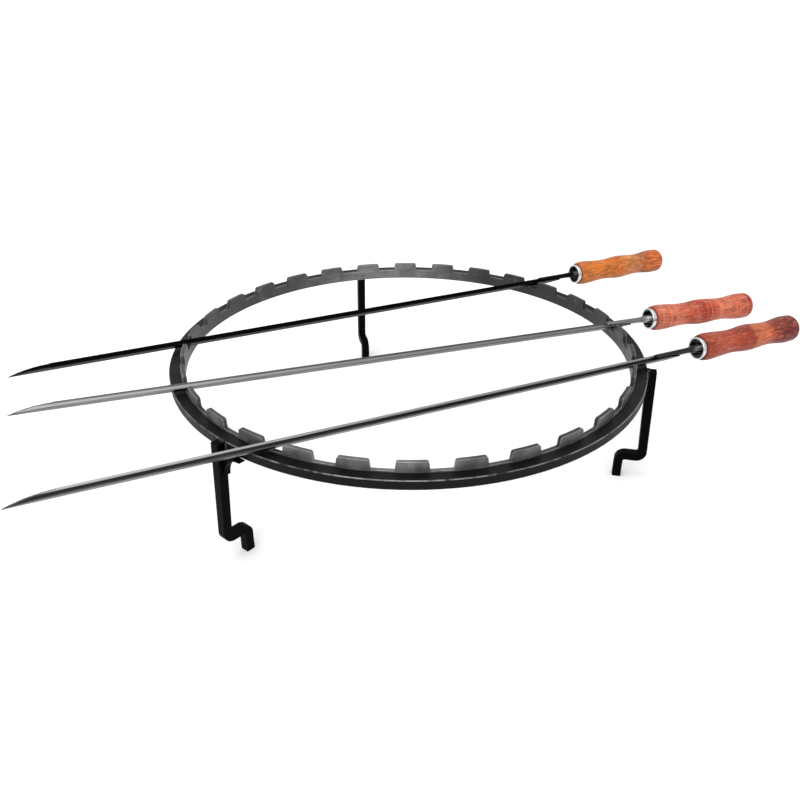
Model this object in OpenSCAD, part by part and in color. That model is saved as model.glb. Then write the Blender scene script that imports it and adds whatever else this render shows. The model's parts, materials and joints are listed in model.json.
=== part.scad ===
// Round skewer stand: a bar ring with an upright toothed strip inside it, on three stepped
// legs, and three trough-section skewers with ferrules and turned wooden handles.
// Millimetres. +Z is up. The origin is on the ring's axis at floor level.

/* [Bar ring] */
// Outside diameter of the bar ring
ring_diameter = 500; // [490:1:560]
// Radial width of the bar
bar_width = 12; // [9:0.5:14]
// Height of the bar
bar_height = 9.5; // [7:0.5:10]

/* [Toothed strip] */
// Thickness of the upright strip
strip_thickness = 4; // [3:0.5:6]
// Height of the strip, from the ring's underside to the tooth tops
strip_height = 19.5; // [19.5:0.5:24]
// Depth of the notches between the teeth
notch_depth = 9; // [7:0.5:9.5]
// Number of teeth
tooth_count = 30; // [24:1:30]
// Part of each pitch that is tooth
tooth_share = 0.58; // [0.48:0.01:0.58]
// How far each tooth side leans in towards its top
tooth_lean = 0.8; // [0:0.1:0.8]
// Corner radius of the tooth tops
tooth_corner = 2.6; // [0.5:0.1:3]
// Turn of the first tooth about the ring's axis, in degrees
first_tooth_angle = -5.5; // [-6:0.1:6]

/* [Legs] */
// Width of the square leg bar
leg_bar = 9; // [8:0.5:12]
// Height from the floor to the ring's underside
ring_lift = 120; // [100:1:160]
// Height of the foot tip below the step
tip_drop = 22; // [18:1:30]
// How far the middle of each foot tip lies inside the ring's outer face
tip_inset = 15; // [15:1:40]
// How far each leg leans outwards at its step
leg_splay = 4; // [0:0.5:8]
// Inside radius of the two bends in each leg
bend_radius = 2; // [1:0.5:4]
// Direction of the rear leg, in degrees
rear_leg_angle = 104; // [100:1:116]
// Direction of the left leg, in degrees
left_leg_angle = 229; // [222:1:232]
// Direction of the right leg, in degrees
right_leg_angle = 348; // [340:1:352]

/* [Welds] */
// Radius of the weld beads
bead_radius = 2.2; // [1.5:0.1:3]
// Size of the gusset between the left leg and the ring's underside
web_size = 24; // [8:1:28]
// Number of stitch welds under the ring
stitch_count = 6; // [3:1:12]

/* [Skewer blades] */
// Length of each skewer, from point to handle end
skewer_length = 814; // [780:1:900]
// Width of each wing of the trough-section blade
wing_width = 7.5; // [6:0.1:8]
// Sheet thickness of the blade
wing_thickness = 1.2; // [1:0.1:1.5]
// Length of the ground point
point_length = 42; // [25:1:60]
// Length over which the wings run out at the handle end
runout_length = 18; // [12:1:30]
// Diameter of the round neck rod
rod_diameter = 6; // [5:0.1:6.2]
// Height of the blade above the notch floor
rest_gap = 0.3; // [0.2:0.1:0.6]

/* [Ferrules and handles] */
// Outside diameter of the ferrule cup
ferrule_diameter = 23; // [20:0.5:24]
// Wall of the ferrule cup
ferrule_wall = 1.2; // [0.8:0.1:1.6]
// Depth of the ferrule cup
cup_depth = 11; // [9:0.5:14]
// How far the cup stands out of the wood
ferrule_reach = 5; // [3:0.5:8]
// Length of the flared neck in front of the cup's bottom
flare_length = 26; // [14:1:32]
// Largest diameter of the flared neck
flare_diameter = 16; // [12:0.5:16]
// Length of the wooden handle
handle_length = 131; // [110:1:160]
// Diameter of the front swell
front_swell = 29; // [27:0.5:34]
// Diameter of the front waist
front_waist = 25; // [20:0.5:28]
// Diameter of the middle swell
middle_swell = 28.5; // [24:0.5:32]
// Diameter of the rear waist
rear_waist = 25; // [19:0.5:28]
// Diameter of the rounded end
end_swell = 29.5; // [22:0.5:32]

/* [Skewer places] */
// Direction in which the front skewer's blade crosses the strip, in degrees
front_cross_point = 240.5; // [234:0.5:247]
// Direction in which the front skewer's neck end crosses the strip, in degrees
front_cross_neck = 348.5; // [342:0.5:355]
// Overhang of the front skewer's point past the strip
front_overhang = 217; // [170:1:240]
// How far towards +Y the front skewer lies from its notch centre at the point end
front_point_shift = 1; // [-1:0.5:1]
// How far towards +Y the front skewer lies from its notch centre at the neck end
front_neck_shift = -1; // [-1:0.5:1]
// Direction in which the middle skewer's blade crosses the strip, in degrees
middle_cross_point = 204.5; // [198:0.5:211]
// Direction in which the middle skewer's neck end crosses the strip, in degrees
middle_cross_neck = 12.5; // [6:0.5:19]
// Overhang of the middle skewer's point past the strip
middle_overhang = 163; // [120:1:180]
// How far towards +Y the middle skewer lies from its notch centre at the point end
middle_point_shift = -3; // [-3:0.5:3]
// How far towards +Y the middle skewer lies from its notch centre at the neck end
middle_neck_shift = -3; // [-3:0.5:3]
// Direction in which the rear skewer's blade crosses the strip, in degrees
rear_cross_point = 180.5; // [174:0.5:187]
// Direction in which the rear skewer's neck end crosses the strip, in degrees
rear_cross_neck = 48.5; // [42:0.5:55]
// Overhang of the rear skewer's point past the strip
rear_overhang = 181; // [130:1:200]
// How far towards +Y the rear skewer lies from its notch centre at the point end
rear_point_shift = 0; // [-1.5:0.5:1.5]
// How far towards +Y the rear skewer lies from its notch centre at the neck end
rear_neck_shift = 1.5; // [-1.5:0.5:1.5]

/* [Hidden] */
$fn = 96;
half = 0.5;

// Ring
ring_r = ring_diameter / 2;
strip_outer_r = ring_r - bar_width;
strip_inner_r = strip_outer_r - strip_thickness;
strip_mid_r = (strip_outer_r + strip_inner_r) / 2;
tooth_pitch = 360 / tooth_count;
notch_width = 2 * strip_mid_r * sin(tooth_pitch * (1 - tooth_share) / 2);
notch_floor = ring_lift + strip_height - notch_depth;
strip_top = ring_lift + strip_height;
bar_top = ring_lift + bar_height;

// Legs
bend_outer_r = bend_radius + leg_bar;
step_top = tip_drop + leg_bar;
tip_radius = ring_r - tip_inset;
upright_foot = tip_drop + bend_outer_r;
tip_inner = tip_radius - leg_bar / 2;
tip_outer = tip_radius + leg_bar / 2;
upright_outer = ring_r + leg_bar + leg_splay;
upright_inner = ring_r + leg_splay;
leg_half_angle = asin((leg_bar / 2 + bead_radius / 2) / ring_r);
web_depth = 7;
web_edge = 0.8;
gusset_inset = 1.6;
leg_bite = 0.4;
stitch_offset = 30;
stitch_half_span = 1;

// Skewers
rod_r = rod_diameter / 2;
root_two = sqrt(2);
fold_drop = (rod_r + wing_thickness) * root_two;
wing_reach = wing_width / root_two;
wing_rise = wing_reach - fold_drop;
axis_height = notch_floor + fold_drop + rest_gap;
contact_drop = (rod_r + wing_thickness / 2) / root_two;
wing_top = wing_rise + wing_thickness / root_two;
ferrule_start = skewer_length - handle_length - ferrule_reach;
shoulder_gap = 0.3;
running_gap = 0.05;
plate_gap = 0.3;
flare_end = ferrule_start + cup_depth - shoulder_gap;
neck_start = flare_end - flare_length;
bare_rod = 8;
rod_hold = 12;
blade_length = neck_start - bare_rod;
rod_overlap = runout_length + rod_hold;
tang_length = 70;
ferrule_r = ferrule_diameter / 2;
ferrule_bore_r = ferrule_r - ferrule_wall;
ferrule_length = cup_depth + ferrule_wall;
recess_r = ferrule_r + running_gap;
recess_bottom = ferrule_length + shoulder_gap;
lip_r = 0.9;
flare_rise = flare_diameter / 2 - rod_r;
flare_arc_r = (flare_length * flare_length + flare_rise * flare_rise) / (2 * flare_rise);
point_arc_r = (point_length * point_length + wing_reach * wing_reach) / (2 * wing_reach);
corner_steps = 5;
corner_lift = 0.08;
bend_steps = 8;
curve_steps = 8;
end_steps = 8;
end_flat = 0.55;

// Handle stations, as parts of the handle's length, and the radius at each
swell_at = [0, 0.05, 0.30, 0.485, 0.70, 0.89, 0.95];
swell_r = [
    front_swell / 2 - 0.8,
    front_swell / 2,
    front_waist / 2,
    middle_swell / 2,
    rear_waist / 2,
    end_swell / 2,
    end_swell / 2 - 0.3
];
last_station = 6;

black_steel = [0.05, 0.05, 0.055];
strip_steel = [0.32, 0.32, 0.32];
blade_steel = [0.30, 0.30, 0.31];
bright_steel = [0.82, 0.82, 0.84];
red_wood = [0.56, 0.20, 0.12];
salmon_wood = [0.68, 0.26, 0.16];
orange_wood = [0.70, 0.36, 0.12];

// ---------- ring ----------

function notch_angle(wanted) =
    first_tooth_angle + tooth_pitch * (round((wanted - first_tooth_angle) / tooth_pitch - half) + half);

// Points on an arc about a centre, from one direction to another.
function arc(centre, r, from, to, steps) =
    [for (i = [0 : steps])
        let (a = from + (to - from) * i / steps)
        [centre[0] + r * cos(a), centre[1] + r * sin(a)]];

module notch_shape() {
    foot = notch_width / 2 - tooth_lean / 2;
    head = notch_width / 2 + tooth_lean / 2;
    corner = [head + tooth_corner, notch_depth - tooth_corner + corner_lift];
    side = arc(corner, tooth_corner, 180, 90, corner_steps);
    polygon(concat(
        [[foot, 0]],
        side,
        [[head + tooth_corner, notch_depth + 2], [-head - tooth_corner, notch_depth + 2]],
        [for (i = [corner_steps : -1 : 0]) [-side[i][0], side[i][1]]],
        [[-foot, 0]]
    ));
}

module notch_cutter() {
    translate([strip_inner_r - 2, 0, notch_floor])
        rotate([90, 0, 90])
            linear_extrude(height = strip_thickness + 4)
                notch_shape();
}

module toothed_strip() {
    color(strip_steel)
        difference() {
            translate([0, 0, ring_lift])
                rotate_extrude($fn = 180)
                    translate([strip_inner_r, 0])
                        square([strip_thickness, strip_height]);
            for (i = [0 : tooth_count - 1])
                rotate([0, 0, first_tooth_angle + tooth_pitch * (i + half)])
                    notch_cutter();
        }
}

module bar_body() {
    translate([0, 0, ring_lift])
        rotate_extrude($fn = 360)
            translate([strip_outer_r, 0])
                square([bar_width, bar_height]);
}

module bar_ring() {
    color(black_steel)
        bar_body();
}

module stitch_welds() {
    color(black_steel)
        difference() {
            for (i = [0 : stitch_count - 1])
                for (j = [-stitch_half_span : half : stitch_half_span])
                    rotate([0, 0, rear_leg_angle + stitch_offset + i * 360 / stitch_count + j])
                        translate([strip_outer_r, 0, ring_lift])
                            sphere(r = bead_radius, $fn = 24);
            translate([0, 0, ring_lift])
                cylinder(r = ring_r, h = strip_height);
        }
}

// ---------- legs ----------

module leg_side() {
    upper = [upright_outer - bend_outer_r, upright_foot];
    lower = [tip_inner + bend_outer_r, tip_drop - bend_radius];
    polygon(concat(
        [[ring_r - leg_bite, ring_lift], [ring_r - leg_bite, bar_top], [ring_r + leg_bar, bar_top]],
        arc(upper, bend_outer_r, 0, -90, bend_steps),
        arc(lower, bend_radius, 90, 180, bend_steps),
        [[tip_outer, 0], [tip_inner, 0]],
        arc(lower, bend_outer_r, 180, 90, bend_steps),
        arc(upper, bend_radius, -90, 0, bend_steps)
    ));
}

module leg_body() {
    rotate([90, 0, 0])
        linear_extrude(height = leg_bar, center = true)
            leg_side();
}

// The inner face is hollowed to fit the ring.
module leg(angle) {
    color(black_steel)
        difference() {
            rotate([0, 0, angle])
                leg_body();
            translate([0, 0, ring_lift])
                cylinder(r = ring_r, h = bar_height + 1, $fn = 180);
        }
}

module leg_rear() {
    leg(rear_leg_angle);
}

module leg_left() {
    leg(left_leg_angle);
}

module leg_right() {
    leg(right_leg_angle);
}

// Upright beads at the leg's two sides.
module side_beads() {
    difference() {
        for (side = [-1, 1])
            rotate([0, 0, side * leg_half_angle])
                translate([ring_r, 0, ring_lift + half])
                    cylinder(r = bead_radius, h = bar_height - 2 * half, $fn = 32);
        translate([strip_mid_r, -leg_bar / 2, ring_lift])
            cube([2 * bar_width, leg_bar, bar_height]);
        bar_body();
    }
}

// A flat bead along the top of the joint.
module top_bead() {
    difference() {
        translate([ring_r + half, leg_bar / 2 - half, bar_top - half])
            rotate([90, 0, 0])
                cylinder(r = bead_radius, h = leg_bar - 2 * half, $fn = 32);
        translate([strip_mid_r, -leg_bar, bar_top - bar_height])
            cube([2 * bar_width, 2 * leg_bar, bar_height]);
    }
}

module weld_solid(angle) {
    rotate([0, 0, angle]) {
        side_beads();
        top_bead();
    }
}

module weld_rear() {
    color(black_steel)
        weld_solid(rear_leg_angle);
}

module weld_right() {
    color(black_steel)
        weld_solid(right_leg_angle);
}

module weld_left() {
    color(black_steel)
        weld_solid(left_leg_angle);
}

// A gusset with a hollow edge stiffens the left leg's joint from below.
module gusset_left() {
    color(black_steel)
        rotate([0, 0, left_leg_angle])
            translate([ring_r - gusset_inset, leg_bar / 2, ring_lift])
                difference() {
                    translate([0, 0, -web_size])
                        cube([web_depth, web_size, web_size]);
                    translate([-1, web_size, -web_size])
                        rotate([0, 90, 0])
                            cylinder(r = web_size - web_edge, h = web_depth + 2, $fn = 64);
                }
}

// ---------- skewers, drawn along +X from the point, with the turning axis on X ----------

module trough_section() {
    translate([0, -fold_drop])
        rotate(45)
            difference() {
                square([wing_width, wing_width]);
                translate([wing_thickness, wing_thickness])
                    square([wing_width, wing_width]);
            }
}

module blade_outline() {
    intersection() {
        translate([0, -fold_drop - 1])
            square([blade_length, wing_reach + wing_thickness + 2]);
        union() {
            translate([point_length, wing_rise - point_arc_r])
                circle(r = point_arc_r, $fn = 360);
            translate([point_length, -fold_drop - 1])
                square([blade_length, wing_reach + wing_thickness + 2]);
        }
    }
}

// Two slanting cuts make the wings run out to points against the rod.
module runout_cut() {
    translate([blade_length - runout_length, 0, 0])
        rotate([90, 0, 0])
            linear_extrude(height = 4 * wing_width, center = true) {
                polygon([
                    [0, 2 * wing_width],
                    [0, wing_top + half],
                    [runout_length + 1, -contact_drop],
                    [runout_length + 1, 2 * wing_width]
                ]);
                polygon([
                    [0, -2 * wing_width],
                    [0, -fold_drop - half],
                    [runout_length + 1, -contact_drop - 0.2],
                    [runout_length + 1, -2 * wing_width]
                ]);
            }
}

module blade() {
    color(blade_steel)
        difference() {
            intersection() {
                rotate([90, 0, 90])
                    linear_extrude(height = blade_length)
                        trough_section();
                rotate([90, 0, 0])
                    linear_extrude(height = 4 * wing_width, center = true)
                        blade_outline();
            }
            runout_cut();
        }
}

module neck() {
    color(blade_steel)
        rotate([90, 0, 90]) {
            translate([0, 0, blade_length - rod_overlap])
                cylinder(r = rod_r, h = ferrule_start + recess_bottom + tang_length - blade_length + rod_overlap, $fn = 48);
            translate([0, 0, neck_start])
                rotate_extrude($fn = 72)
                    intersection() {
                        square([flare_diameter / 2, flare_length]);
                        difference() {
                            square([flare_diameter / 2, flare_length]);
                            translate([rod_r + flare_arc_r, 0])
                                circle(r = flare_arc_r, $fn = 180);
                        }
                    }
        }
}

// An open cup with a rolled lip, which sits in the wood's recess.
module ferrule() {
    color(bright_steel)
        translate([ferrule_start, 0, 0])
            rotate([90, 0, 90])
                rotate_extrude($fn = 96)
                    union() {
                        translate([ferrule_bore_r, 0])
                            square([ferrule_wall, ferrule_length]);
                        translate([rod_r + plate_gap, cup_depth])
                            square([ferrule_bore_r - rod_r - plate_gap + ferrule_wall / 2, ferrule_wall]);
                        translate([ferrule_bore_r + lip_r, lip_r / 2])
                            circle(r = lip_r, $fn = 32);
                    }
}

function ease(t) = (1 - cos(180 * t)) / 2;

module handle_profile() {
    end_z = ferrule_reach + handle_length * swell_at[last_station];
    end_r = swell_r[last_station];
    end_round = handle_length * (1 - swell_at[last_station]);
    polygon(concat(
        [[0, recess_bottom], [recess_r, recess_bottom], [recess_r, ferrule_reach]],
        [for (k = [0 : last_station - 1])
            for (i = [0 : curve_steps - 1])
                [
                    swell_r[k] + (swell_r[k + 1] - swell_r[k]) * ease(i / curve_steps),
                    ferrule_reach + handle_length * (swell_at[k] + (swell_at[k + 1] - swell_at[k]) * i / curve_steps)
                ]
        ],
        [for (i = [0 : end_steps])
            [
                end_r * (end_flat + (1 - end_flat) * cos(90 * i / end_steps)),
                end_z + end_round * sin(90 * i / end_steps)
            ]
        ],
        [[0, ferrule_reach + handle_length]]
    ));
}

module handle(wood) {
    color(wood)
        translate([ferrule_start, 0, 0])
            rotate([90, 0, 90])
                difference() {
                    rotate_extrude($fn = 96)
                        handle_profile();
                    translate([0, 0, recess_bottom - 1])
                        cylinder(r = rod_r, h = tang_length + 1, $fn = 48);
                }
}

// Lays a skewer across two notches with its point overhanging the first one.
module place(cross_point, cross_neck, overhang, point_shift, neck_shift) {
    a = notch_angle(cross_point);
    b = notch_angle(cross_neck);
    from = strip_mid_r * [cos(a), sin(a)] + [0, point_shift];
    to = strip_mid_r * [cos(b), sin(b)] + [0, neck_shift];
    run = to - from;
    heading = atan2(run[1], run[0]);
    translate([from[0], from[1], axis_height])
        rotate([0, 0, heading])
            translate([-overhang, 0, 0])
                children();
}

module place_front() {
    place(front_cross_point, front_cross_neck, front_overhang, front_point_shift, front_neck_shift)
        children();
}

module place_middle() {
    place(middle_cross_point, middle_cross_neck, middle_overhang, middle_point_shift, middle_neck_shift)
        children();
}

module place_rear() {
    place(rear_cross_point, rear_cross_neck, rear_overhang, rear_point_shift, rear_neck_shift)
        children();
}

module blade_front() {
    place_front()
        blade();
}

module neck_front() {
    place_front()
        neck();
}

module ferrule_front() {
    place_front()
        ferrule();
}

module handle_front() {
    place_front()
        handle(red_wood);
}

module blade_middle() {
    place_middle()
        blade();
}

module neck_middle() {
    place_middle()
        neck();
}

module ferrule_middle() {
    place_middle()
        ferrule();
}

module handle_middle() {
    place_middle()
        handle(salmon_wood);
}

module blade_rear() {
    place_rear()
        blade();
}

module neck_rear() {
    place_rear()
        neck();
}

module ferrule_rear() {
    place_rear()
        ferrule();
}

module handle_rear() {
    place_rear()
        handle(orange_wood);
}

toothed_strip();
bar_ring();
stitch_welds();
leg_rear();
leg_left();
leg_right();
weld_rear();
weld_left();
weld_right();
gusset_left();
blade_front();
neck_front();
ferrule_front();
handle_front();
blade_middle();
neck_middle();
ferrule_middle();
handle_middle();
blade_rear();
neck_rear();
ferrule_rear();
handle_rear();
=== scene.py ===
import json
import math

import bmesh
import bpy
from mathutils import Matrix, Vector, noise


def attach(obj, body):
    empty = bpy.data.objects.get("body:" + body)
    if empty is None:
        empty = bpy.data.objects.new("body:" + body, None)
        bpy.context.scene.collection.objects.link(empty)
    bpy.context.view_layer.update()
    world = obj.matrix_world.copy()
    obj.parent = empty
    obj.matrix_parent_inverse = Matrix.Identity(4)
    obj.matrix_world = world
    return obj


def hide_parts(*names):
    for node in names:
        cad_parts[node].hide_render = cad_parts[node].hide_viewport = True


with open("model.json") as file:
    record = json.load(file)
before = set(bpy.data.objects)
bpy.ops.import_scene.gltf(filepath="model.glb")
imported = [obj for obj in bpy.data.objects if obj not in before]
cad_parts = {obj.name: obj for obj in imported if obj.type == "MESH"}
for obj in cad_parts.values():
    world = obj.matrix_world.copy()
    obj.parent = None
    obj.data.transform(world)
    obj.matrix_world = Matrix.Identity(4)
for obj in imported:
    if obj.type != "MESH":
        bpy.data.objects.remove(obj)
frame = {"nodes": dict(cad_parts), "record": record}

record = frame["record"]
joints = {j["name"]: j for j in record["behaviour"]["joints"]}
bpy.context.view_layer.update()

TAU = 2 * math.pi
UP = Vector((0, 0, 1))
DOWN = Vector((0, 0, -1))

UNROLL_RADIUS = 0.24  # turns an angle round the strip into a length
FOLD_DEPTH = 0.00594  # of a blade's V, below the skewer's axis


def srgb(r, g, b):
    """A display colour, 0 to 255, as linear RGBA."""
    def one(c):
        c = c / 255
        return c / 12.92 if c <= 0.04045 else ((c + 0.055) / 1.055) ** 2.4
    return (one(r), one(g), one(b), 1.0)


def cool_grey(level, blue=1):
    """A display grey with a little more blue."""
    return srgb(level, level, level + blue)


def placed(name, data):
    """A new object in the scene."""
    thing = bpy.data.objects.new(name, data)
    bpy.context.scene.collection.objects.link(thing)
    return thing


# ---------- materials ----------

class Nodes:
    """Short calls that add nodes to a shader tree."""

    def __init__(self, tree):
        self.tree = tree

    def new(self, kind):
        return self.tree.nodes.new("ShaderNode" + kind)

    def put(self, socket, value):
        """A number or colour goes on the socket, and a node's output is linked to it."""
        if isinstance(value, bpy.types.NodeSocket):
            self.tree.links.new(value, socket)
        else:
            socket.default_value = value

    def math(self, operation, a, b=0.0):
        n = self.new("Math")
        n.operation = operation
        self.put(n.inputs[0], a)
        self.put(n.inputs[1], b)
        return n.outputs[0]

    def add(self, a, b):
        return self.math("ADD", a, b)

    def times(self, a, b):
        return self.math("MULTIPLY", a, b)

    def distance(self, a, b):
        """How far from zero the two coordinates lie."""
        return self.math("SQRT", self.add(self.times(a, a), self.times(b, b)))

    def span(self, value, low, high, to_low=0.0, to_high=1.0):
        """The value, mapped from one range to another and held inside it."""
        n = self.new("MapRange")
        self.put(n.inputs[0], value)
        for i, v in enumerate((low, high, to_low, to_high)):
            n.inputs[i + 1].default_value = v
        return n.outputs[0]

    def split(self, vector):
        n = self.new("SeparateXYZ")
        self.put(n.inputs[0], vector)
        return n.outputs

    def join(self, x, y, z):
        n = self.new("CombineXYZ")
        for socket, value in zip(n.inputs, (x, y, z)):
            self.put(socket, value)
        return n.outputs[0]

    def noise(self, vector, scale, detail=3.0, rough=0.55, distortion=0.0):
        n = self.new("TexNoise")
        self.put(n.inputs["Vector"], vector)
        n.inputs["Scale"].default_value = scale
        n.inputs["Detail"].default_value = detail
        n.inputs["Roughness"].default_value = rough
        n.inputs["Distortion"].default_value = distortion
        return n.outputs["Fac"]

    def stretched(self, vector, along, across, detail, rough, distortion=0.0):
        """Noise with one scale along the piece and another across it."""
        n = self.new("VectorMath")
        n.operation = "MULTIPLY"
        self.put(n.inputs[0], vector)
        n.inputs[1].default_value = (along, across, across)
        return self.noise(n.outputs[0], 1.0, detail, rough, distortion)

    def banded(self, x, scale, detail, rough=0.55, seed=0.0):
        """Noise that changes only along the axis, like marks of a lathe."""
        return self.noise(self.join(self.times(x, scale), 0.0, seed), 1.0, detail, rough)

    def ramp(self, value, stops):
        n = self.new("ValToRGB")
        self.put(n.inputs[0], value)
        while len(n.color_ramp.elements) < len(stops):
            n.color_ramp.elements.new(0.5)
        for e, (at, colour) in zip(n.color_ramp.elements, stops):
            e.position = at
            e.color = colour
        return n.outputs[0]

    def greys(self, value, stops):
        """A ramp between grey levels, 0 to 1."""
        return self.ramp(value, [(at, (g, g, g, 1)) for at, g in stops])

    def mix(self, factor, a, b, blend="MIX"):
        n = self.new("Mix")
        n.data_type = "RGBA"
        n.blend_type = blend
        colours = [s for s in n.inputs if s.type == "RGBA"]
        self.put(n.inputs[0], factor)
        self.put(colours[0], a)
        self.put(colours[1], b)
        return next(s for s in n.outputs if s.type == "RGBA")

    def bump(self, height, depth, under=None):
        n = self.new("Bump")
        n.inputs["Strength"].default_value = 1.0
        n.inputs["Distance"].default_value = depth
        self.put(n.inputs["Height"], height)
        if under is not None:
            self.put(n.inputs["Normal"], under)
        return n.outputs[0]


class Shader(Nodes):
    """A principled material. place is (position, heading) of the piece that it is drawn along."""

    def __init__(self, name, place=None):
        self.place = place
        self.material = bpy.data.materials.new(name)
        self.material.use_nodes = True
        super().__init__(self.material.node_tree)
        self.main = self.tree.nodes["Principled BSDF"]

    def set(self, **sockets):
        for name, value in sockets.items():
            self.put(self.main.inputs[name.replace("_", " ")], value)

    def coords(self):
        """The object's own coordinates, or those of the material's place."""
        here = self.new("TexCoord").outputs["Object"]
        if self.place is None:
            return here
        position, heading = self.place
        n = self.new("Mapping")
        n.vector_type = "TEXTURE"
        self.put(n.inputs["Vector"], here)
        n.inputs["Location"].default_value = position
        n.inputs["Rotation"].default_value = (0, 0, heading)
        return n.outputs[0]


def black_paint(name, dark, light, rough, shine, dusty):
    """Satin black paint with an orange-peel skin, dust and small scuffs."""
    s = Shader(name)
    c = s.coords()
    cloud = s.noise(c, 38, 4)
    grain = s.noise(c, 1500, 2)
    dust = s.noise(c, 420, 5, 0.7)
    tone = s.ramp(cloud, [(0.3, cool_grey(dark)), (0.75, cool_grey(light))])
    tone = s.mix(s.span(dust, 0.58, 0.80, 0.0, 0.45), tone, cool_grey(dusty))
    s.set(Base_Color=tone, Metallic=0.0, IOR=1.5, Specular_IOR_Level=shine)
    clouded = s.span(cloud, 0.3, 0.7, rough - 0.06, rough + 0.08)
    s.set(Roughness=s.add(clouded, s.span(dust, 0.5, 0.8, 0.0, 0.14)))
    skin = s.bump(s.noise(c, 160, 3), 0.00035)
    s.set(Normal=s.bump(grain, 0.00007, under=skin))
    return s.material


def worn_edge(name, bright, dark, cover, shine):
    """An edge where black paint is rubbed through to steel: more cover leaves less bare steel."""
    s = Shader(name)
    c = s.coords()
    rub = s.noise(c, 90, 5, 0.65)
    bare = s.span(rub, cover - 0.12, cover + 0.12)
    tone = s.mix(bare, cool_grey(dark), cool_grey(bright, 2))
    s.set(Base_Color=tone, Metallic=s.times(bare, 0.6))
    s.set(Roughness=s.span(rub, 0.3, 0.7, 0.34, 0.5), Specular_IOR_Level=shine)
    s.set(Normal=s.bump(s.noise(c, 1300, 3), 0.0001))
    return s.material


def strip_steel(name, tones, rough, metal, middle_radius):
    """Dull mill-finish flat bar: long drawn marks, blotches of scale, small pits.

    tones are its dark, middle and light levels, and middle_radius is that of the strip's wall.
    """
    s = Shader(name)
    x, y, z = s.split(s.coords())
    radius = s.distance(x, y)
    flat = s.join(s.times(s.math("ARCTAN2", y, x), UNROLL_RADIUS), radius, z)
    drawn = s.stretched(flat, 30, 900, 4, 0.6)
    scale = s.noise(flat, 55, 5, 0.62, 0.4)
    pits = s.noise(flat, 900, 3, 0.6)
    low, middle, high = (cool_grey(t) for t in tones)
    tone = s.ramp(scale, [(0.28, low), (0.5, middle), (0.74, high)])
    tone = s.mix(s.span(drawn, 0.35, 0.7, 0.0, 0.45), tone, low)
    tone = s.mix(s.span(pits, 0.62, 0.74, 0.0, 0.6), tone, srgb(28, 27, 27))

    # Painted shade on the inner face at both sides, most of all at the right, weaker on the light
    # patches of scale.
    inward = s.span(radius, middle_radius + 0.0018, middle_radius + 0.0012)
    shade_right = s.span(x, -0.02, 0.10, 0.0, 0.92)
    shade_left = s.span(x, -0.03, -0.15, 0.0, 0.74)
    patchy = s.span(scale, 0.60, 0.72, 1.0, 0.45)
    painted_shade = s.times(inward, s.times(s.math("MAXIMUM", shade_right, shade_left), patchy))
    tone = s.mix(painted_shade, tone, cool_grey(40))

    s.set(Base_Color=tone, Metallic=metal)
    scaled = s.span(scale, 0.25, 0.75, rough - 0.06, rough + 0.10)
    s.set(Roughness=s.add(scaled, s.span(drawn, 0.3, 0.7, -0.03, 0.05)))
    s.set(Normal=s.bump(pits, 0.00022, under=s.bump(drawn, 0.00010)))
    return s.material


def drawn_steel(name, place, tones, rough, metal, trough_shading=None, flare_glints=None):
    """Blade steel ground lengthwise, with fine scratches, smudges and specks.

    tones are its dark, middle and light levels. The last two arguments are the levels of painted
    light and shade inside the V and painted highlights on its rims, and of painted highlights on the
    flare.
    """
    s = Shader(name, place)
    c = s.coords()
    lines = s.stretched(c, 14, 2600, 4, 0.6)
    smudge = s.stretched(c, 14, 60, 4, 0.6)
    specks = s.noise(c, 1200, 3)
    low, middle, high = (cool_grey(t) for t in tones)
    tone = s.ramp(lines, [(0.25, low), (0.5, middle), (0.75, high)])
    tone = s.mix(s.span(smudge, 0.46, 0.72, 0.0, 0.5), tone, low)
    # Painted shade and light inside the blade's V, and painted highlights on its rims.
    if trough_shading:
        tone = paint_trough_shading(s, c, tone, *trough_shading)
    # Painted highlights and reflections on the neck's flare.
    if flare_glints:
        tone = paint_flare_glints(s, c, tone, *flare_glints)
    tone = s.mix(s.span(specks, 0.66, 0.76, 0.0, 0.5), tone, srgb(26, 25, 24))
    s.set(Base_Color=tone, Metallic=metal)
    lined = s.span(lines, 0.3, 0.7, rough - 0.05, rough + 0.07)
    s.set(Roughness=s.add(lined, s.span(smudge, 0.4, 0.7, 0.0, 0.12)))
    s.set(Normal=s.bump(lines, 0.00006))
    return s.material


def paint_trough_shading(s, c, tone, inner, left_rim, right_rim):
    """Painted light and shade on each face of a blade: levels inside the V, and painted highlights
    on its two rims.
    """
    _, y, z = s.split(c)
    risen = s.add(z, FOLD_DEPTH)
    aside = s.math("ABSOLUTE", y)
    depth = s.times(s.math("SUBTRACT", risen, aside), math.sqrt(0.5))
    reach = s.times(s.add(risen, aside), math.sqrt(0.5))
    streaks = s.stretched(c, 9, 900, 3, 0.6)
    inside = s.times(s.span(depth, 0.0007, 0.0011), s.span(streaks, 0.35, 0.65, 1.0, 0.70))
    tone = s.mix(inside, tone, cool_grey(inner))

    # Painted highlights along the rims. The left rim is the wider one.
    leftness = s.span(y, -0.001, 0.001)
    rim = s.mix(leftness, cool_grey(right_rim), cool_grey(left_rim, 2))
    rim_highlight = s.span(s.add(reach, s.times(leftness, 0.0016)), 0.0067, 0.0072)
    return s.mix(s.times(rim_highlight, s.span(streaks, 0.30, 0.62, 1.0, 0.65)), tone, rim)


def paint_flare_glints(s, c, tone, start, dull, bright):
    """Painted highlights and reflections: dull and bright facets on the flare, from start along the
    axis.
    """
    x = s.split(c)[0]
    facets = s.stretched(c, 20, 420, 2, 0.5)
    glints = s.ramp(facets, [(0.38, cool_grey(dull, 2)), (0.58, cool_grey(bright, 2))])
    return s.mix(s.span(x, start, start + 0.008), tone, glints)


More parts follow.
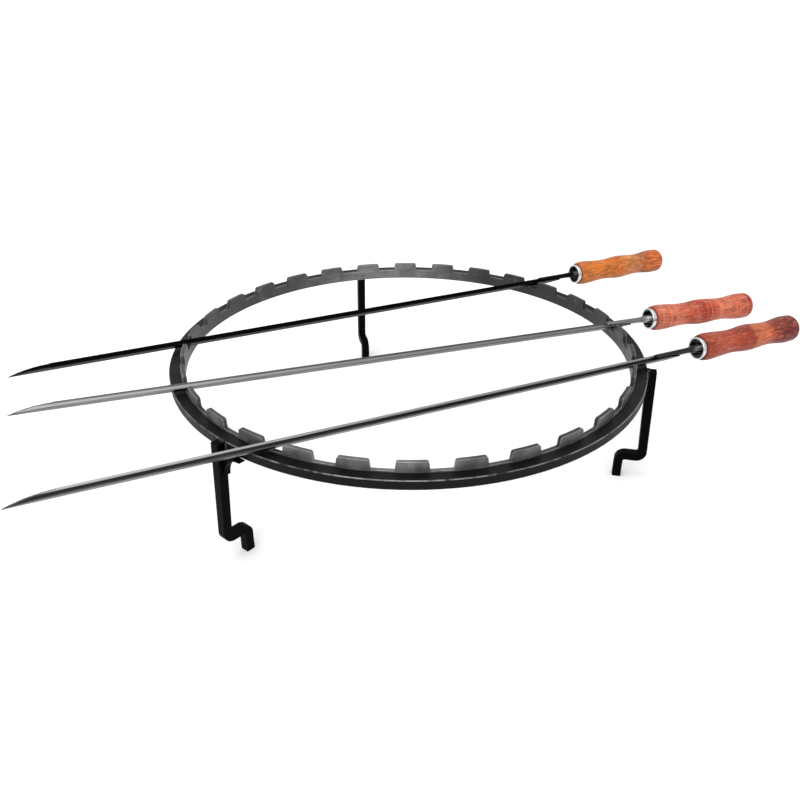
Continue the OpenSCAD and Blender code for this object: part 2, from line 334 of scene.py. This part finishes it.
def bright_plate(name, place, bore):
    """Bright plated ferrule cup: fine turning lines, dull marks, and painted shade inside from bore
    in.
    """
    s = Shader(name, place)
    c = s.coords()
    x, y, z = s.split(c)
    turned = s.banded(x, 3800, 3)
    marks = s.noise(c, 240, 5, 0.65)
    dulled = s.span(marks, 0.55, 0.75, 0.0, 0.6)
    tone = s.mix(dulled, srgb(216, 217, 220), srgb(112, 113, 116))
    # Painted shade inside the cup, growing along the axis.
    within = s.span(s.distance(y, z), bore + 0.0003, bore + 0.0001)
    hollow_shade = s.times(within, s.span(x, 0.0010, 0.0100, 0.0, 0.9))
    tone = s.mix(hollow_shade, tone, srgb(84, 86, 90))
    s.set(Base_Color=tone, Metallic=1.0)
    lined = s.span(turned, 0.3, 0.7, 0.12, 0.24)
    s.set(Roughness=s.add(lined, s.span(marks, 0.5, 0.8, 0.0, 0.2)))
    s.set(Normal=s.bump(turned, 0.00003))
    return s.material


def wood(name, place, start, length, stops, figure, patch, pale, turn, seed, wander, rings=0.0):
    """Turned hardwood, with painted shade towards its underside.

    start and length give the handle's place along the axis, and stops the colours along it, which
    wander to and fro. figure colours the growth rings, fibres and pores, patch the wide blotches,
    and pale the flecks and turned lines. turn is the way the board lay, and rings the strength of
    the turned lines.
    """
    s = Shader(name, place)
    x, y, z = s.split(s.coords())
    seeded = s.join(s.add(x, seed), y, z)
    drifting = s.span(s.stretched(seeded, 40, 90, 4, 0.6), 0.3, 0.7, -wander, wander)
    along = s.add(s.span(x, start, start + length), drifting)
    mottle = s.span(s.stretched(seeded, 60, 150, 4, 0.65, 0.6), 0.32, 0.68, 0.56, 1.34)
    # Painted shade, darker towards the bottom of the handle.
    underside_shade = s.span(z, -0.0145, -0.003, 0.50, 1.0)
    base = s.mix(1.0, s.ramp(along, stops), s.times(mottle, underside_shade), "MULTIPLY")

    # Growth rings: nearly flat sheets through the handle, which the turned swells cut into loops.
    across = s.add(s.times(y, math.cos(turn)), s.times(z, math.sin(turn)))
    drift = s.stretched(seeded, 16, 55, 3, 0.55, 0.6)
    sheet = s.add(s.times(across, 260), s.add(s.times(x, 8), s.times(drift, 8)))
    late = s.greys(s.math("FRACT", sheet), [(0.0, 0.0), (0.5, 0.2), (0.86, 1.0), (1.0, 0.0)])
    tone = s.mix(s.times(late, 0.42), base, figure)

    # Fibres, wide soft blotches, pale flecks and pores.
    fibre = s.stretched(seeded, 70, 1300, 4, 0.6)
    tone = s.mix(s.span(fibre, 0.46, 0.68, 0.0, 0.34), tone, figure)
    blotch = s.stretched(seeded, 64, 170, 4, 0.6, 0.8)
    tone = s.mix(s.span(blotch, 0.50, 0.64, 0.0, 0.38), tone, patch)
    fleck = s.stretched(s.join(s.add(x, seed + 5), y, z), 75, 330, 4, 0.65, 0.5)
    tone = s.mix(s.span(fleck, 0.54, 0.70, 0.0, 0.42), tone, pale)
    if rings:
        turned = s.banded(x, 520, 2, 0.5, seed)
        tone = s.mix(s.span(turned, 0.50, 0.72, 0.0, rings), tone, pale)
    pores = s.span(s.stretched(seeded, 260, 3200, 2, 0.5), 0.63, 0.72)
    tone = s.mix(s.times(pores, 0.5), tone, figure)
    s.set(Base_Color=tone, Metallic=0.0, IOR=1.48, Specular_IOR_Level=0.26)
    s.set(Coat_Weight=0.06, Coat_Roughness=0.3)
    s.set(Roughness=s.add(s.span(fibre, 0.3, 0.7, 0.44, 0.56), s.times(pores, 0.15)))

    # The lathe leaves faint rings round the handle, and the grain opens a little.
    lathe = s.bump(s.banded(x, 900, 2), 0.00010)
    opened = s.bump(fibre, 0.00018, under=lathe)
    s.set(Normal=s.bump(pores, -0.00018, under=opened))
    return s.material


# ---------- shapes ----------

def node_points(node):
    return [v.co for v in frame["nodes"][node].data.vertices]


def from_centre(point):
    """A point's distance from the stand's axis."""
    return math.hypot(point.x, point.y)


def new_piece(name, mesh, body, slot, *materials):
    piece = placed(name, mesh)
    for m in materials:
        mesh.materials.append(m)
    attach(piece, body)
    return piece


def refined(name, node, sharp):
    """A clean copy of a CAD node's shape: corners merged, faces joined that are flat together."""
    source = frame["nodes"][node].data
    mesh = bpy.data.meshes.new(name)
    faces = [tuple(p.vertices) for p in source.polygons]
    mesh.from_pydata([v.co[:] for v in source.vertices], [], faces)
    bm = bmesh.new()
    bm.from_mesh(mesh)
    bmesh.ops.remove_doubles(bm, verts=bm.verts, dist=1e-5)
    flat = math.radians(0.4)
    bmesh.ops.dissolve_limit(bm, angle_limit=flat, verts=bm.verts, edges=bm.edges)
    for f in bm.faces:
        f.smooth = True
    bm.to_mesh(mesh)
    bm.free()
    mesh.set_sharp_from_angle(angle=math.radians(sharp))
    return mesh


def cad_piece(node, body, slot, width, segments, *materials, sharp=35):
    """The visible piece of a CAD node. Its rounded edges take the last of its materials."""
    name = f"{node}_visual"
    piece = new_piece(name, refined(name, node, sharp), body, slot, *materials)
    edges = piece.modifiers.new("edges", "BEVEL")
    edges.width = width
    edges.segments = segments
    edges.limit_method = "ANGLE"
    edges.angle_limit = math.radians(32)
    edges.material = len(materials) - 1
    edges.harden_normals = False
    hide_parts(node)


def bead_mesh(name, paths, radius):
    """Weld beads: overlapping scales, each a little crescent, with domed ends.

    Each path is its points and the direction that the bead rises in.
    """
    ripple = 0.0011  # from one scale to the next
    squash = 0.8  # height over width
    spacing = 0.00022  # from ring to ring of the mesh
    sides = 20
    bm = bmesh.new()
    for k, (points, up) in enumerate(paths):
        lengths = [0.0]
        for a, b in zip(points, points[1:]):
            lengths.append(lengths[-1] + (b - a).length)
        total = lengths[-1]
        steps = max(8, int(total / spacing))
        rings = []
        for i in range(steps + 1):
            s = total * i / steps
            j = max(n for n in range(len(points) - 1) if lengths[n] <= s + 1e-9)
            part = (s - lengths[j]) / (lengths[j + 1] - lengths[j])
            at = points[j].lerp(points[j + 1], min(1.0, part))
            ahead = (points[j + 1] - points[j]).normalized()
            side = up.cross(ahead).normalized()
            rise = ahead.cross(side).normalized()
            end = min(s, total - s)
            slope = max(0.0, 1 - end / radius)
            dome = math.sqrt(max(0.0, 1 - slope ** 2))
            ring = []
            for n in range(sides):
                a = TAU * n / sides
                lag = 0.35 * ripple * (1 - abs(math.sin(a)))
                wave = abs(math.sin(math.pi * (s + lag) / ripple)) ** 0.7
                rough = noise.noise(at * 700 + Vector((k * 3.1, a, 0))) * 0.05
                r = radius * max(0.03, dome) * (0.86 + 0.13 * wave + rough)
                spot = at + side * r * math.cos(a) + rise * r * math.sin(a) * squash
                ring.append(bm.verts.new(spot))
            rings.append(ring)
        for a, b in zip(rings, rings[1:]):
            for n in range(sides):
                m = (n + 1) % sides
                bm.faces.new((a[n], a[m], b[m], b[n]))
        bm.faces.new(list(reversed(rings[0])))
        bm.faces.new(rings[-1])
    bmesh.ops.recalc_face_normals(bm, faces=bm.faces)
    for f in bm.faces:
        f.smooth = True
    mesh = bpy.data.meshes.new(name)
    bm.to_mesh(mesh)
    bm.free()
    return mesh


def bead_piece(node, paths, radius):
    """The visible weld beads of a CAD node."""
    name = f"{node}_visual"
    piece = new_piece(name, bead_mesh(name, paths, radius), "stand", "weld_paint", weld_paint)
    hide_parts(node)


# ---------- the stand ----------

ring_points = node_points("bar_ring")
ring_outer = max(from_centre(p) for p in ring_points)
ring_low = min(p.z for p in ring_points)
ring_high = max(p.z for p in ring_points)
strip_radii = [from_centre(p) for p in node_points("toothed_strip")]
strip_middle = (max(strip_radii) + min(strip_radii)) / 2

paint = black_paint("black_paint", 5, 13, 0.46, 0.10, 46)
leg_paint = black_paint("leg_paint", 1, 4, 0.50, 0.03, 22)
weld_paint = black_paint("weld_paint", 10, 26, 0.34, 0.3, 50)
# The ring's bevelled edges: paint rubbed through to steel, and also a painted highlight line along
# them.
ring_wear_and_highlight = worn_edge("ring_edge", 118, 30, 0.47, 0.12)
leg_edge = worn_edge("leg_edge", 34, 4, 0.66, 0.05)
steel = strip_steel("strip_steel", (84, 118, 146), 0.44, 0.7, strip_middle)
# A lighter copy of the strip's steel for its bevelled edges: painted highlights where the tooth
# edges catch the light.
steel_edge_highlight = strip_steel("strip_edge_highlight", (140, 182, 214), 0.34, 0.85, strip_middle)

legs = ("rear", "left", "right")
cad_piece("bar_ring", "stand", "black_paint", 0.0008, 2, paint, ring_wear_and_highlight)
cad_piece("toothed_strip", "stand", "strip_steel", 0.0006, 2, steel, steel_edge_highlight)
for side in legs:
    cad_piece(f"leg_{side}", "stand", "black_paint", 0.0018, 2, leg_paint, leg_edge)
cad_piece("gusset_left", "stand", "black_paint", 0.0005, 2, leg_paint, leg_edge)

# A bead up each side of a leg and one across its top, all against the ring's outer face.
leg_half = 0.0045  # half the leg's width
leg_bead = 0.0022  # radius
side_out, side_inset = 0.0003, 0.0006  # out from the ring's face, in from its upper and lower edge
top_out, top_inset = 0.0005, 0.0004
for side in legs:
    foot = next(m["pos_m"] for m in record["mounts"] if m["name"] == f"foot_{side}")
    a = math.atan2(foot[1], foot[0])
    out = Vector((math.cos(a), math.sin(a), 0))
    left = Vector((-math.sin(a), math.cos(a), 0))
    paths = []
    for sign in (-1, 1):
        corner = out * (ring_outer + side_out) + left * sign * (leg_half + leg_bead / 2)
        heights = (ring_low + side_inset, ring_high - side_inset)
        paths.append(([corner + UP * h for h in heights], out))
    top = out * (ring_outer + top_out) + UP * (ring_high - top_inset)
    reach = left * (leg_half + 0.0001)
    paths.append(([top - reach, top + reach], UP))
    bead_piece(f"weld_{side}", paths, leg_bead)

# Stitch welds under the ring, one for each loose cluster of the CAD node's corners.
stitch_bead = 0.0020  # radius
stitch_steps = 10
cluster_gap = 0.1  # radians between the corners of two stitches, at least
dome_angle = 0.006  # radians, taken off each end of a stitch
stitch = node_points("stitch_welds")
angles = sorted(math.atan2(p.y, p.x) % TAU for p in stitch)
clusters = [[angles[0]]]
for a in angles[1:]:
    if a - clusters[-1][-1] > cluster_gap:
        clusters.append([])
    clusters[-1].append(a)
if len(clusters) > 1 and clusters[0][0] + TAU - clusters[-1][-1] < cluster_gap:
    clusters[0] = [a - TAU for a in clusters.pop()] + clusters[0]
seam = sum(from_centre(p) for p in stitch) / len(stitch)
paths = []
for cluster in clusters:
    first, last = min(cluster) + dome_angle, max(cluster) - dome_angle
    turns = [first + (last - first) * i / stitch_steps for i in range(stitch_steps + 1)]
    points = [Vector((seam * math.cos(a), seam * math.sin(a), ring_low)) for a in turns]
    paths.append((points, DOWN))
bead_piece("stitch_welds", paths, stitch_bead)

# ---------- the skewers ----------

# The three blades and necks are one steel: their different levels are painted light and shade,
# lighter on the middle skewer and near black on the rear.
skewers = {
    "front": dict(
        steel_slot="blade_steel",
        wood_slot="wood_brown_red",
        blade=dict(tones=(48, 72, 104), rough=0.32, metal=1.0, trough_shading=(22, 160, 60)),
        blade_edge_highlight=dict(tones=(52, 86, 124), rough=0.26, metal=0.95),
        neck=dict(tones=(22, 44, 84), rough=0.22, metal=1.0, flare_glints=(-0.008, 60, 214)),
        wood=dict(
            stops=[
                (0.00, srgb(138, 52, 32)), (0.10, srgb(156, 66, 42)), (0.22, srgb(156, 62, 38)),
                (0.46, srgb(142, 48, 30)), (0.50, srgb(146, 52, 34)), (0.53, srgb(184, 98, 56)),
                (0.68, srgb(184, 94, 54)), (0.74, srgb(132, 48, 34)), (0.84, srgb(98, 32, 26)),
                (1.00, srgb(84, 26, 24)),
            ],
            figure=srgb(74, 20, 14), patch=srgb(176, 86, 54), pale=srgb(214, 138, 98),
            turn=0.7, seed=0.13, wander=0.03,
        ),
    ),
    "middle": dict(
        steel_slot="blade_steel_light",
        wood_slot="wood_salmon",
        blade=dict(tones=(60, 84, 116), rough=0.28, metal=1.0, trough_shading=(128, 52, 96)),
        blade_edge_highlight=dict(tones=(60, 92, 128), rough=0.24, metal=0.95),
        neck=dict(tones=(80, 118, 160), rough=0.20, metal=1.0, flare_glints=(-0.010, 120, 236)),
        wood=dict(
            stops=[
                (0.00, srgb(164, 76, 56)), (0.10, srgb(186, 96, 72)), (0.30, srgb(182, 86, 62)),
                (0.37, srgb(164, 60, 36)), (0.44, srgb(152, 40, 20)), (0.56, srgb(160, 46, 24)),
                (0.60, srgb(184, 84, 56)), (0.76, srgb(194, 106, 76)), (0.86, srgb(184, 80, 56)),
                (1.00, srgb(148, 54, 40)),
            ],
            figure=srgb(120, 32, 18), patch=srgb(204, 120, 88), pale=srgb(230, 166, 136),
            turn=2.1, seed=3.41, wander=0.03, rings=0.36,
        ),
    ),
    "rear": dict(
        steel_slot="blade_steel_dark",
        wood_slot="wood_orange",
        blade=dict(tones=(4, 7, 13), rough=0.42, metal=1.0, trough_shading=(4, 9, 9)),
        blade_edge_highlight=dict(tones=(8, 12, 20), rough=0.36, metal=1.0),
        neck=dict(tones=(10, 16, 30), rough=0.28, metal=1.0, flare_glints=(-0.004, 40, 190)),
        wood=dict(
            stops=[
                (0.00, srgb(178, 96, 34)), (0.20, srgb(196, 106, 30)), (0.46, srgb(190, 96, 24)),
                (0.56, srgb(196, 122, 66)), (0.68, srgb(184, 112, 66)), (0.76, srgb(140, 72, 44)),
                (0.84, srgb(184, 88, 28)), (1.00, srgb(182, 78, 16)),
            ],
            figure=srgb(104, 42, 12), patch=srgb(204, 120, 46), pale=srgb(224, 164, 104),
            turn=1.3, seed=7.77, wander=0.05, rings=0.10,
        ),
    ),
}

wood_skin = 0.0122  # a handle's corners further out than this are on its turned skin
rod_clear = 0.006  # a ferrule's corners further out than this are clear of the rod's hole

for side, looks in skewers.items():
    spin = joints[f"{side}_spin"]
    ahead = Vector(spin["axis"]).normalized()
    at = Vector(spin["pos_m"])
    place = (tuple(at), math.atan2(ahead.y, ahead.x))

    def from_axis(node):
        """Each corner's distance along the skewer from the joint and out from its axis."""
        spots = [p - at for p in node_points(node)]
        return [(p.dot(ahead), (p - ahead * p.dot(ahead)).length) for p in spots]

    skin = [x for x, r in from_axis(f"handle_{side}") if r > wood_skin]
    bore = min(r for x, r in from_axis(f"ferrule_{side}") if r > rod_clear)
    start, length = min(skin), max(skin) - min(skin)
    grain = wood(f"wood_{side}", place, start, length, **looks["wood"])
    plate = bright_plate(f"bright_ferrule_{side}", place, bore)
    blade_steel = drawn_steel(f"blade_steel_{side}", place, **looks["blade"])
    # A lighter copy of the blade steel for its bevelled edges: painted highlights along them.
    blade_edge_highlight = drawn_steel(f"blade_edge_highlight_{side}", place, **looks["blade_edge_highlight"])
    neck_steel = drawn_steel(f"neck_steel_{side}", place, **looks["neck"])

    skewer, carrier = f"{side}_skewer", f"{side}_carrier"
    steel_slot, wood_slot = looks["steel_slot"], looks["wood_slot"]
    cad_piece(f"blade_{side}", skewer, steel_slot, 0.00022, 2, blade_steel, blade_edge_highlight)
    cad_piece(f"neck_{side}", skewer, steel_slot, 0.0003, 2, neck_steel)
    cad_piece(f"ferrule_{side}", carrier, "bright_ferrule", 0.0002, 2, plate)
    cad_piece(f"handle_{side}", skewer, wood_slot, 0.0009, 3, grain, sharp=45)

# ---------- floor, light, camera ----------

half = 40.0
corners = [(-half, -half, 0), (half, -half, 0), (half, half, 0), (-half, half, 0)]
floor_mesh = bpy.data.meshes.new("floor")
floor_mesh.from_pydata(corners, [], [(0, 1, 2, 3)])
floor = placed("floor", floor_mesh)
floor_look = Shader("floor_pale")
cloud = floor_look.noise(floor_look.coords(), 3, 2)
floor_tone = floor_look.greys(cloud, [(0.3, 0.86), (0.7, 0.89)])
floor_look.set(Base_Color=floor_tone, Roughness=0.85, Specular_IOR_Level=0.1)
floor_mesh.materials.append(floor_look.material)

# A white room, dimmer at the left above the horizon.
world = bpy.data.worlds.new("soft_room")
bpy.context.scene.world = world
world.use_nodes = True
room = Nodes(world.node_tree)
backdrop = world.node_tree.nodes["Background"]
x, _, z = room.split(room.new("TexCoord").outputs["Generated"])
leftward = room.span(x, -0.35, -0.95, 0.0, 0.7)
raised = room.span(z, 0.08, 0.25)
left_over = room.math("SUBTRACT", 1.0, room.times(leftward, raised))
room.put(backdrop.inputs["Strength"], left_over)
room.put(backdrop.inputs["Color"], (1.0, 1.0, 1.0, 1))


def softbox(name, position, target, width, height, power):
    lamp = bpy.data.lights.new(name, "AREA")
    lamp.shape = "RECTANGLE"
    lamp.size = width
    lamp.size_y = height
    lamp.energy = power
    holder = placed(name, lamp)
    holder.location = position
    holder.rotation_mode = "QUATERNION"
    aim = Vector(target) - Vector(position)
    holder.rotation_quaternion = aim.to_track_quat("-Z", "Y")


softbox("top_light", (-0.5, -0.2, 2.2), (0, 0, 0.1), 1.4, 1.2, 10)
softbox("front_light", (-0.7, -2.0, 1.3), (0, 0, 0.12), 1.4, 0.9, 14)

sunlight = bpy.data.lights.new("soft_sun", "SUN")
sunlight.energy = 1.1
sunlight.angle = math.radians(60)
sun = placed("soft_sun", sunlight)
sun.rotation_euler = (math.radians(24), math.radians(-14), 0)

# The camera stands in front of the object, looks down by pitch and leans by roll.
pitch = math.radians(29.30)
roll = 0.004
stand_at = Vector((-0.0084, -0.7913, 0.5084))
forward = Vector((0, math.cos(pitch), -math.sin(pitch)))
upward = Vector((0, math.sin(pitch), math.cos(pitch)))
right = Vector((math.cos(roll), 0, 0)) + math.sin(roll) * upward
top = math.cos(roll) * upward - Vector((math.sin(roll), 0, 0))
optics = bpy.data.cameras.new("camera")
optics.sensor_width = 36
optics.lens = 36.58
optics.clip_start = 0.02
optics.clip_end = 100
camera = placed("camera", optics)
camera.matrix_world = Matrix((
    (right.x, top.x, -forward.x, stand_at.x),
    (right.y, top.y, -forward.y, stand_at.y),
    (right.z, top.z, -forward.z, stand_at.z),
    (0, 0, 0, 1),
))
bpy.context.scene.camera = camera
bpy.context.scene.view_settings.view_transform = "Standard"
